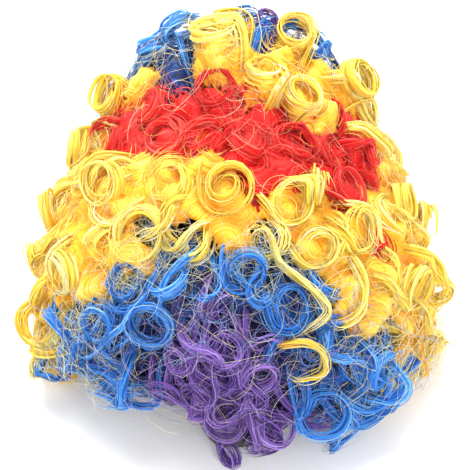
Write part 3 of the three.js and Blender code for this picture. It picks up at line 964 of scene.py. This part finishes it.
# the puff that each point belongs to, and how high it lies on it, from 0 in a crease to 1 on top
def puffAt(points):
    away = np.linalg.norm(ruffled(points)[:, None] - ruffled(puffPoints)[None], axis=2) * puffPulls
    nearest = np.argpartition(away, 1, axis=1)[:, :2]
    first, second = np.sort(np.take_along_axis(away, nearest, axis=1), axis=1).T
    middle = (second - first) / (second + first)
    return np.argmin(away, axis=1), np.sin(0.5 * math.pi * middle) ** puffShape["roundness"]


def onPuffs(span, height):
    return span[0] + (span[1] - span[0]) * height


# the matted hair, with its fibre wound round each puff
matShape = {
    "around": 180,
    "up": 112,
    "thick": 9 * mm,
    "hem": 100,  # degrees from the crown
    "floor": 6 * mm,
    "spiral": 0.12,  # how its fibre winds and wavers
    "ruffle": 0.25,
    "ruffleSize": 9 * mm,
    "toneVary": 0.28,
    "shareVary": 0.06,
}


def ballPlaces(ball):
    sides = np.degrees(np.arctan2(ball[:, 0], ball[:, 2]))
    return sides, hairPoint(sides, np.clip(ball[:, 1], -1, 1), 1.0)


# the angle of each point round the swirl that it belongs to
def swirlAngle(points, swirls):
    front, right = hairAxes(swirls)[1:]
    away = points - swirls
    return np.arctan2(np.sum(away * front, axis=1), np.sum(away * right, axis=1))


def buildMat(band):
    look = band.get("puffs", puffLooks[band["slot"]])
    bm = bmesh.new()
    bmesh.ops.create_uvsphere(bm, u_segments=matShape["around"], v_segments=matShape["up"], radius=1)
    sides, spots = ballPlaces(np.array([face.calc_center_median() for face in bm.faces]))
    keep = (puffNodes[puffAt(spots)[0]] == band["node"]) & (np.abs(sides) < matShape["hem"])
    bm.faces.ensure_lookup_table()
    bmesh.ops.delete(bm, geom=[bm.faces[index] for index in np.flatnonzero(~keep)], context="FACES")
    mesh = meshFrom(bm, band["node"] + "_mat")
    ball = np.zeros(3 * len(mesh.vertices))
    mesh.vertices.foreach_get("co", ball)
    ball = ball.reshape(-1, 3)
    sides, spots = ballPlaces(ball)
    height = puffAt(spots)[1]
    ruffle = np.array([noise.noise(Vector(spot / matShape["ruffleSize"])) for spot in spots])
    share = onPuffs(look["shares"], height) + matShape["shareVary"] * ruffle
    corners = hairPoint(sides, np.clip(ball[:, 1], -1, 1), share)
    corners[:, 2] = np.maximum(corners[:, 2], matShape["floor"])
    mesh.vertices.foreach_set("co", corners.ravel())
    # tone: painted shade in the creases between puffs and painted light on their tops, with random ruffles
    mesh.attributes.new("tone", "FLOAT", "POINT").data.foreach_set(
        "value", onPuffs(look["tones"], height) + matShape["toneVary"] * ruffle)
    mesh.attributes.new("reach", "FLOAT", "POINT").data.foreach_set("value", np.ones(len(spots)))
    mesh.polygons.foreach_set("use_smooth", np.ones(len(mesh.polygons), dtype=bool))
    corner = np.zeros(len(mesh.loops), dtype=int)
    mesh.loops.foreach_get("vertex_index", corner)
    sizes = np.array([len(face.vertices) for face in mesh.polygons])
    faceOf = np.repeat(np.arange(len(sizes)), sizes)
    firsts = np.concatenate([[0], np.cumsum(sizes)[:-1]])
    middles = np.add.reduceat(spots[corner], firsts, axis=0) / sizes[:, None]
    swirls = puffSwirls[puffAt(middles)[0]]
    home = swirlAngle(middles, swirls)[faceOf]
    turn = swirlAngle(spots[corner], swirls[faceOf]) - home
    angle = home + (turn + math.pi) % (2 * math.pi) - math.pi
    row = np.linalg.norm(spots[corner] - swirls[faceOf], axis=1) / puffShape["size"]
    row = row + matShape["spiral"] * angle + matShape["ruffle"] * ruffle[corner]
    fibre = mesh.uv_layers.new(name="fibre")
    fibre.data.foreach_set("uv", np.stack([angle * puffShape["size"], row], axis=1).ravel())
    piece = addObject(mesh.name, mesh)
    wall = piece.modifiers.new("wall", "SOLIDIFY")
    wall.thickness = matShape["thick"]
    wall.offset = -1
    mesh.materials.append(hairFinish[band["slot"]])
    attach(piece, "root")


for hairBand in hairBands:
    buildMat(hairBand)
print("matted hair laid")

# wisps that follow the swirl of each puff
wispShape = {
    "points": 9,
    "perPuff": {"hair_purple": 8, "hair_blue": 8, "hair_yellow": 19, "hair_red": 13},
    "length": (10 * mm, 26 * mm),
    "spread": (0.02, 1.2),  # share of a puff's area
    "mostTurn": 4,  # radians
    "drift": 0.3,
    "lowest": 0.45,  # how far they sink into the creases
    "above": (0.0, 0.08),  # shares of the way out from the matted hair
    "radius": (0.18 * mm, 0.42 * mm),
    "flatness": 0.6,
    "tipTaper": 0.2,
    "tone": (0.08, 0.18),
}


def buildWisps(band):
    look = band.get("puffs", puffLooks[band["slot"]])
    chosen = np.repeat(np.flatnonzero(puffNodes == band["node"]), wispShape["perPuff"][band["slot"]])
    count, points = len(chosen), wispShape["points"]
    run = np.linspace(-0.5, 0.5, points)[None, :]
    swirls = puffSwirls[chosen]
    front, right = hairAxes(swirls)[1:]
    turn = between((0, 2 * math.pi), count, 1)
    far = puffShape["size"] * np.sqrt(between(wispShape["spread"], count, 1))
    starts = puffPoints[chosen] + far * (np.cos(turn) * right + np.sin(turn) * front)
    ring = np.linalg.norm(starts - swirls, axis=1, keepdims=True)
    bend = np.minimum(wispShape["mostTurn"], between(wispShape["length"], count, 1) / ring)
    angle = swirlAngle(starts, swirls)[:, None] + bend * run
    ring = ring * (1 + rng.normal(0, wispShape["drift"], (count, 1)) * run)
    ways = np.cos(angle)[..., None] * right[:, None] + np.sin(angle)[..., None] * front[:, None]
    paths = swirls[:, None] + ring[..., None] * ways
    height = puffAt(paths.reshape(-1, 3))[1].reshape(count, points)
    share = onPuffs(look["shares"], np.maximum(height, wispShape["lowest"]))
    share = share + between(wispShape["above"], count, 1)
    paths = ontoHair(paths, share)
    across, over = pathFrames(paths, hairAxes(paths[:, points // 2])[0])
    # the tones follow the puffs' painted shade in the creases and painted light on the tops, with a random
    # lift of their own
    tones = onPuffs(look["tones"], height.mean(axis=1)) + rng.normal(*wispShape["tone"], count)
    taper = np.minimum(1, wispShape["tipTaper"] + 4 * (0.5 - np.abs(run)))
    strands = {
        "middles": keepInside(paths, wispShape["radius"][1]),
        "across": across,
        "over": over,
        "radii": between(wispShape["radius"], count, 1) * taper,
        "reach": np.ones((count, points)),
        "tones": np.clip(tones, 0, 1),
    }
    strandPiece(band["node"] + "_wisps", [tubeArrays(strands, wispShape["flatness"])], band["slot"])


for hairBand in hairBands:
    buildWisps(hairBand)
print("wisps laid")

# loose frizz: fine strands that wander over the curls
frizzShape = {
    "points": 9,
    "step": 3.2 * mm,
    "bend": 0.08,  # radians of turn at each step
    "curl": (-4, 4),  # radians of turn along a strand
    "radius": 0.09 * mm,
    "radiusVary": (0.7, 1.2),
    "heights": (0.85, 1.15),  # shares of the way out
    "rise": 0.008,  # how much that changes at each step
    "memory": 0.85,  # how smoothly a strand wanders
    "toneVary": 0.15,
    "lowestSide": 110,
    "lastRow": 0.99,
}


# numbers that wander smoothly along each strand
def wander(count, steps, spread):
    rows = np.zeros((count, steps))
    rows[:, 0] = rng.normal(0, 2 * spread, count)
    for step in range(1, steps):
        rows[:, step] = frizzShape["memory"] * rows[:, step - 1] + rng.normal(0, spread, count)
    return rows


# a patch of frizz: side and along of its middle, how far it spreads each way, and how many strands it has
def patchAt(side, along, sideways, lengthways, count):
    return dict(side=side, along=along, sideways=sideways, lengthways=lengthways, count=count)


frizzPatches = [
    {"name": "frizz_yellow_front", "slot": "hair_yellow", "tone": 0.78, "patches": [
        patchAt(0, -0.6, 50, 0.06, 190),
        patchAt(-30, -0.6, 16, 0.05, 110),
        patchAt(-70, -0.78, 16, 0.08, 110),
        patchAt(45, -0.72, 18, 0.08, 90),
        patchAt(74, -0.74, 12, 0.07, 120),
        patchAt(0, -0.88, 45, 0.08, 50),
        patchAt(-26, -0.45, 4, 0.03, 60),
        patchAt(9, -0.57, 5, 0.03, 60),
        patchAt(-85, -0.3, 14, 0.3, 130),
        patchAt(85, -0.3, 14, 0.3, 130),
    ]},
    {"name": "frizz_yellow_back", "slot": "hair_yellow", "tone": 0.8, "patches": [
        patchAt(0, 0.0, 35, 0.16, 70),
        patchAt(0, 0.4, 65, 0.12, 140),
        patchAt(-20, 0.44, 12, 0.05, 150),
        patchAt(20, 0.46, 16, 0.05, 90),
    ]},
    {"name": "frizz_red", "slot": "hair_red", "tone": 0.9, "patches": [
        patchAt(0, 0.0, 35, 0.14, 290),
    ]},
    {"name": "frizz_blue_front", "slot": "hair_blue", "tone": 0.85, "patches": [
        patchAt(0, -0.68, 65, 0.1, 240),
    ]},
    {"name": "frizz_blue_back", "slot": "hair_blue", "tone": 0.7, "patches": [
        patchAt(-5, 0.5, 30, 0.06, 160),
        patchAt(0, 0.62, 65, 0.1, 70),
    ]},
    {"name": "frizz_purple_front", "slot": "hair_purple", "tone": 0.85, "patches": [
        patchAt(0, -0.88, 45, 0.08, 220),
    ]},
    {"name": "frizz_purple_back", "slot": "hair_purple", "tone": 0.7, "patches": [
        patchAt(0, 0.88, 70, 0.1, 70),
    ]},
]


def scattered(patches, key, spread):
    return np.concatenate([rng.normal(patch[key], patch[spread], patch["count"]) for patch in patches])


def buildFrizz(frizz):
    lowest, last = frizzShape["lowestSide"], frizzShape["lastRow"]
    side = np.clip(scattered(frizz["patches"], "side", "sideways"), -lowest, lowest)
    along = np.clip(scattered(frizz["patches"], "along", "lengthways"), -last, last)
    count, steps = len(side), frizzShape["points"]
    heading = between((0, 2 * math.pi), count, 1)
    heading = heading + np.cumsum(wander(count, steps, frizzShape["bend"]), axis=1)
    heading = heading + between(frizzShape["curl"], count, 1) * np.linspace(0, 1, steps)
    share = between(frizzShape["heights"], count, 1)
    share = share + np.cumsum(wander(count, steps, frizzShape["rise"]), axis=1)
    middles = walkOver(hairPoint(side, along, 1.0), heading, share, frizzShape["step"])
    across, over = pathFrames(middles, hairAxes(middles[:, steps // 2])[0])
    radii = frizzShape["radius"] * between(frizzShape["radiusVary"], count, 1)
    strands = {
        "middles": keepInside(middles, frizzShape["radius"]),
        "across": across,
        "over": over,
        "radii": radii * np.ones(steps),
        "reach": np.ones((count, steps)),
        "tones": np.clip(rng.normal(frizz["tone"], frizzShape["toneVary"], count), 0, 1),
    }
    strandPiece(frizz["name"], [tubeArrays(strands, 1.0)], frizz["slot"])


for frizzPatch in frizzPatches:
    buildFrizz(frizzPatch)
print("frizz laid")

# the soft black cap: a stretch knit dome on a short wall, run out to a rounded peak at the front
capShape = {
    "around": 96,
    "up": 48,
    "wallRows": 5,
    "thick": 1.6 * mm,
    "edge": 1.7 * mm,
    "peakLength": 32 * mm,
    "peakHalfWidth": 22 * mm,
    "peakTop": 58 * mm,
    "flat": (0.21, 0.27),  # the blank it is cut from
    "cut": 0.037,  # square metres of knit in it
    # the knit's colours: the dark one is painted into the grooves as shade, the light one onto the raised
    # stitches
    "dark": (0.006, 0.006, 0.008),
    "light": (0.035, 0.033, 0.04),
    "stitch": (1.7 * mm, 1.3 * mm),
    "stitchLean": 1.2,
}


# the peak draws the front of the cap and rim forward; points are measured from the middle of the rim
def drawPeak(points):
    fade = 1 - ease(points[..., 2], (dome["wallTop"], capShape["peakTop"]))
    reach = capShape["peakLength"] * fade * np.exp(-(points[..., 0] / capShape["peakHalfWidth"]) ** 4)
    drawn = points.copy()
    drawn[..., 1] -= np.where(points[..., 1] < 0, reach, 0)
    return drawn + domeMiddle


# a map in metres round the cap and up it
def wrapMap(bm, name):
    layer = bm.loops.layers.uv.new(name)
    rim = (dome["halfWidth"] + dome["halfLength"]) / 2

    def wrapped(point):
        up = point.z - dome["wallTop"]
        level = math.hypot(point.x, point.y)
        return math.atan2(point.y, point.x), (up if up < 0 else rim * math.atan2(up, level)), level

    for face in bm.faces:
        home = wrapped(face.calc_center_median())[0]
        for loop in face.loops:
            angle, row, level = wrapped(loop.vert.co)
            turn = (angle - home + math.pi) % (2 * math.pi) - math.pi if level > 1e-6 else 0
            loop[layer].uv = (rim * (home + turn), row)


def clothPiece(bm, name, material, thick, offset):
    for face in bm.faces:
        face.smooth = True
    for vertex in bm.verts:
        vertex.co = drawPeak(np.array(vertex.co))
    mesh = meshFrom(bm, name)
    mesh.materials.append(material)
    piece = addObject(name, mesh)
    wall = piece.modifiers.new("wall", "SOLIDIFY")
    wall.thickness = thick
    wall.offset = offset
    wall.use_even_offset = True
    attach(piece, "root")
    return piece


# black cloth with a raised pattern on one of its maps:
# columns of stitches that lean out from each column's middle; its colour is painted shade, dark in the
# grooves and light on the raised stitches, with random fuzz
def clothMaterial(name, mapName, look, pitch, lean):
    material = newMaterial(name)

    def sine(value):
        return addMath(material, "SINE", addMath(material, "MULTIPLY", value, 2 * math.pi))

    pitches = {"Vector": mapOf(material, mapName), "Scale": (1 / pitch[0], 1 / pitch[1], 1)}
    scale = addNode(material, "Mapping", pitches)
    axes = addNode(material, "SeparateXYZ", {"Vector": scale.outputs["Vector"]})
    fromMiddle = addMath(material, "PINGPONG", axes.outputs["X"], 0.5)
    leaning = addMath(material, "ADD", axes.outputs["Y"], addMath(material, "MULTIPLY", fromMiddle, lean))
    height = addMath(material, "ADD", addMath(material, "MULTIPLY", sine(leaning), 0.5), sine(fromMiddle))
    place = addNode(material, "TexCoord", {}).outputs["Object"]
    fuzz = addNode(material, "TexNoise", {"Vector": place, "Scale": 900, "Detail": 4})
    raised = addMath(material, "ADD", height, fuzz.outputs["Fac"])
    # painted shade: the colour runs from dark in the grooves to light on the raised stitches, with random
    # fuzz
    shade = addRange(material, raised, {"From Min": -0.2, "From Max": 2.2})
    bump = addNode(material, "Bump", {"Height": raised, "Strength": 0.7, "Distance": 0.3 * mm})
    feedSurface(material, {
        "Base Color": addMix(material, shade, (*look["dark"], 1), (*look["light"], 1)),
        "Roughness": addRange(material, shade, {"To Min": 0.9, "To Max": 0.7}),
        "Normal": bump.outputs["Normal"],
        "Sheen Weight": 0.25,
        "Sheen Roughness": 0.5,
    })
    return material


def buildCap():
    bm = bmesh.new()
    bmesh.ops.create_uvsphere(bm, u_segments=capShape["around"], v_segments=capShape["up"], radius=1)
    everything = bm.verts[:] + bm.edges[:] + bm.faces[:]
    bmesh.ops.bisect_plane(bm, geom=everything, plane_co=(0, 0, 0), plane_no=(0, 0, 1), clear_inner=True)
    bmesh.ops.scale(bm, verts=bm.verts[:], vec=(dome["halfWidth"], dome["halfLength"], dome["rise"]))
    bmesh.ops.translate(bm, verts=bm.verts[:], vec=(0, 0, dome["wallTop"]))
    for row in range(capShape["wallRows"]):
        rim = [edge for edge in bm.edges if edge.is_boundary]
        wall = bmesh.ops.extrude_edge_only(bm, edges=rim)["geom"]
        lower = [item for item in wall if isinstance(item, bmesh.types.BMVert)]
        down = (capShape["edge"] - dome["wallTop"]) / capShape["wallRows"]
        bmesh.ops.translate(bm, verts=lower, vec=(0, 0, down))
    bmesh.ops.recalc_face_normals(bm, faces=bm.faces)
    wrapMap(bm, "wrap")
    knit = clothMaterial("black_knit", "wrap", capShape, capShape["stitch"], capShape["stitchLean"])
    piece = clothPiece(bm, "cap_knit_dome", knit, capShape["thick"], -1)
    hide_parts("cap")


buildCap()
print("cap made")

# the elastic rim: a ribbed tape folded over the cap's edge
rimShape = {
    "height": 12 * mm,
    "thick": 1.3 * mm,
    "gap": 0.4 * mm,
    "around": 400,
    "wallRows": 5,
    "foldRows": 8,
    "rib": 0.1 * mm,
    "flat": (0.027, 0.47),  # the tape before it is folded
    # the tape's colours: the dark one is painted into the grooves between ribs as shade, the light one
    # onto the ribs
    "dark": (0.004, 0.004, 0.005),
    "light": (0.024, 0.023, 0.027),
    "thread": (1.3 * mm, 0.9 * mm),
}


def buildRim():
    half = rimShape["thick"] / 2
    outer = dome["halfWidth"] + rimShape["gap"] + half
    inner = dome["halfWidth"] - capShape["thick"] - rimShape["gap"] - half
    fold = (outer - inner) / 2
    middle = (outer + inner) / 2
    heights = np.linspace(rimShape["height"], half + fold, rimShape["wallRows"] + 1)
    section = [(outer, z) for z in heights[:-1]]
    for turn in np.linspace(0, math.pi, rimShape["foldRows"]):
        section.append((middle + fold * math.cos(turn), half + fold - fold * math.sin(turn)))
    section += [(inner, z) for z in heights[-2::-1]]
    bm = bmesh.new()
    verts = [bm.verts.new((x, 0, z)) for x, z in section]
    edges = [bm.edges.new(pair) for pair in zip(verts, verts[1:])]
    bmesh.ops.spin(
        bm, geom=verts + edges, cent=(0, 0, 0), axis=(0, 0, 1), angle=2 * math.pi,
        steps=rimShape["around"], use_merge=True)
    for vertex in bm.verts:
        step = round(math.atan2(vertex.co.y, vertex.co.x) / (2 * math.pi) * rimShape["around"])
        level = math.hypot(vertex.co.x, vertex.co.y)
        ribbed = level - rimShape["rib"] * (step % 2)
        vertex.co.x *= ribbed / level
        vertex.co.y *= ribbed / level * dome["halfLength"] / dome["halfWidth"]
    bmesh.ops.remove_doubles(bm, verts=bm.verts[:], dist=0.01 * mm)
    bmesh.ops.recalc_face_normals(bm, faces=bm.faces)
    wrapMap(bm, "wrap")
    elastic = clothMaterial("black_elastic", "wrap", rimShape, rimShape["thread"], 0.0)
    piece = clothPiece(bm, "rim_elastic_tape", elastic, rimShape["thick"], 0)
    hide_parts("rim_band")


buildRim()
print("rim made")

# stitches: two lines round the rim, and the rows inside the cap that hold the hair
stitchShape = {
    "points": 5,
    "rimPoints": 400,  # on the lines that the stitches follow
    "rowPoints": 120,
    "length": 2.6 * mm,
    "space": 4.2 * mm,
    "radius": 0.3 * mm,
    "rimHeights": (9.3 * mm, 7.3 * mm),
    "hairRows": (-0.78, -0.55, -0.24, 0.22, 0.48, 0.78),
    "hairSides": 78,
    "sink": 0.3,  # share of the radius that goes into the cloth
    # the thread's colours: the dark one is painted between the twists as shade, the light one onto the
    # twists
    "dark": (0.01, 0.01, 0.012),
    "light": (0.06, 0.058, 0.065),
    "twist": (0.6 * mm, 0.34),
    "twistLean": 0.5,
}


# short stitches laid along a line of points
def alongLine(line, outs):
    run = np.concatenate([[0], np.cumsum(np.linalg.norm(np.diff(line, axis=0), axis=1))])
    starts = np.arange(0, run[-1] - stitchShape["length"], stitchShape["space"])
    spots = starts[:, None] + np.linspace(0, stitchShape["length"], stitchShape["points"])

    def atSpots(rows):
        return np.stack([np.interp(spots, run, rows[:, axis]) for axis in range(3)], axis=-1)

    ups = unit(atSpots(outs))
    bow = np.sin(np.linspace(0, math.pi, stitchShape["points"]))[None, :, None]
    return atSpots(line) + ups * stitchShape["radius"] * (bow - stitchShape["sink"]), ups


def buildStitches():
    turn = np.linspace(0, 2 * math.pi, stitchShape["rimPoints"])
    lines = []
    outs = np.stack([np.cos(turn), np.sin(turn), 0 * turn], axis=1)
    rim = dome["halfWidth"] + rimShape["gap"] + rimShape["thick"]
    ring = rim * outs * np.array([1, dome["halfLength"] / dome["halfWidth"], 0])
    for height in stitchShape["rimHeights"]:
        lines.append(alongLine(drawPeak(ring + np.array([0, 0, height])), outs))
    for along in stitchShape["hairRows"]:
        sides = np.linspace(-stitchShape["hairSides"], stitchShape["hairSides"], stitchShape["rowPoints"])
        outside = hairPoint(sides, np.full_like(sides, along), 0.0)
        outs = hairAxes(outside)[0]
        inside = drawPeak(outside - outs * capShape["thick"] - domeMiddle)
        lines.append(alongLine(inside, -outs))
    paths, ups = (np.concatenate([line[index] for line in lines]) for index in range(2))
    tangents = unit(np.gradient(paths, axis=1))
    across = unit(np.cross(tangents, ups))
    count, points = paths.shape[:2]
    strands = {
        "middles": paths,
        "across": across,
        "over": np.cross(tangents, across),
        "radii": np.full((count, points), stitchShape["radius"]),
        "reach": np.ones((count, points)),
        "tones": np.full(count, 0.5),
    }
    twist, lean = stitchShape["twist"], stitchShape["twistLean"]
    thread = clothMaterial("black_thread", "fibre", stitchShape, twist, lean)
    strandPiece("sewing_stitches", [tubeArrays(strands, 1.0)], "cap_knit", thread)


buildStitches()
print("stitches sewn")
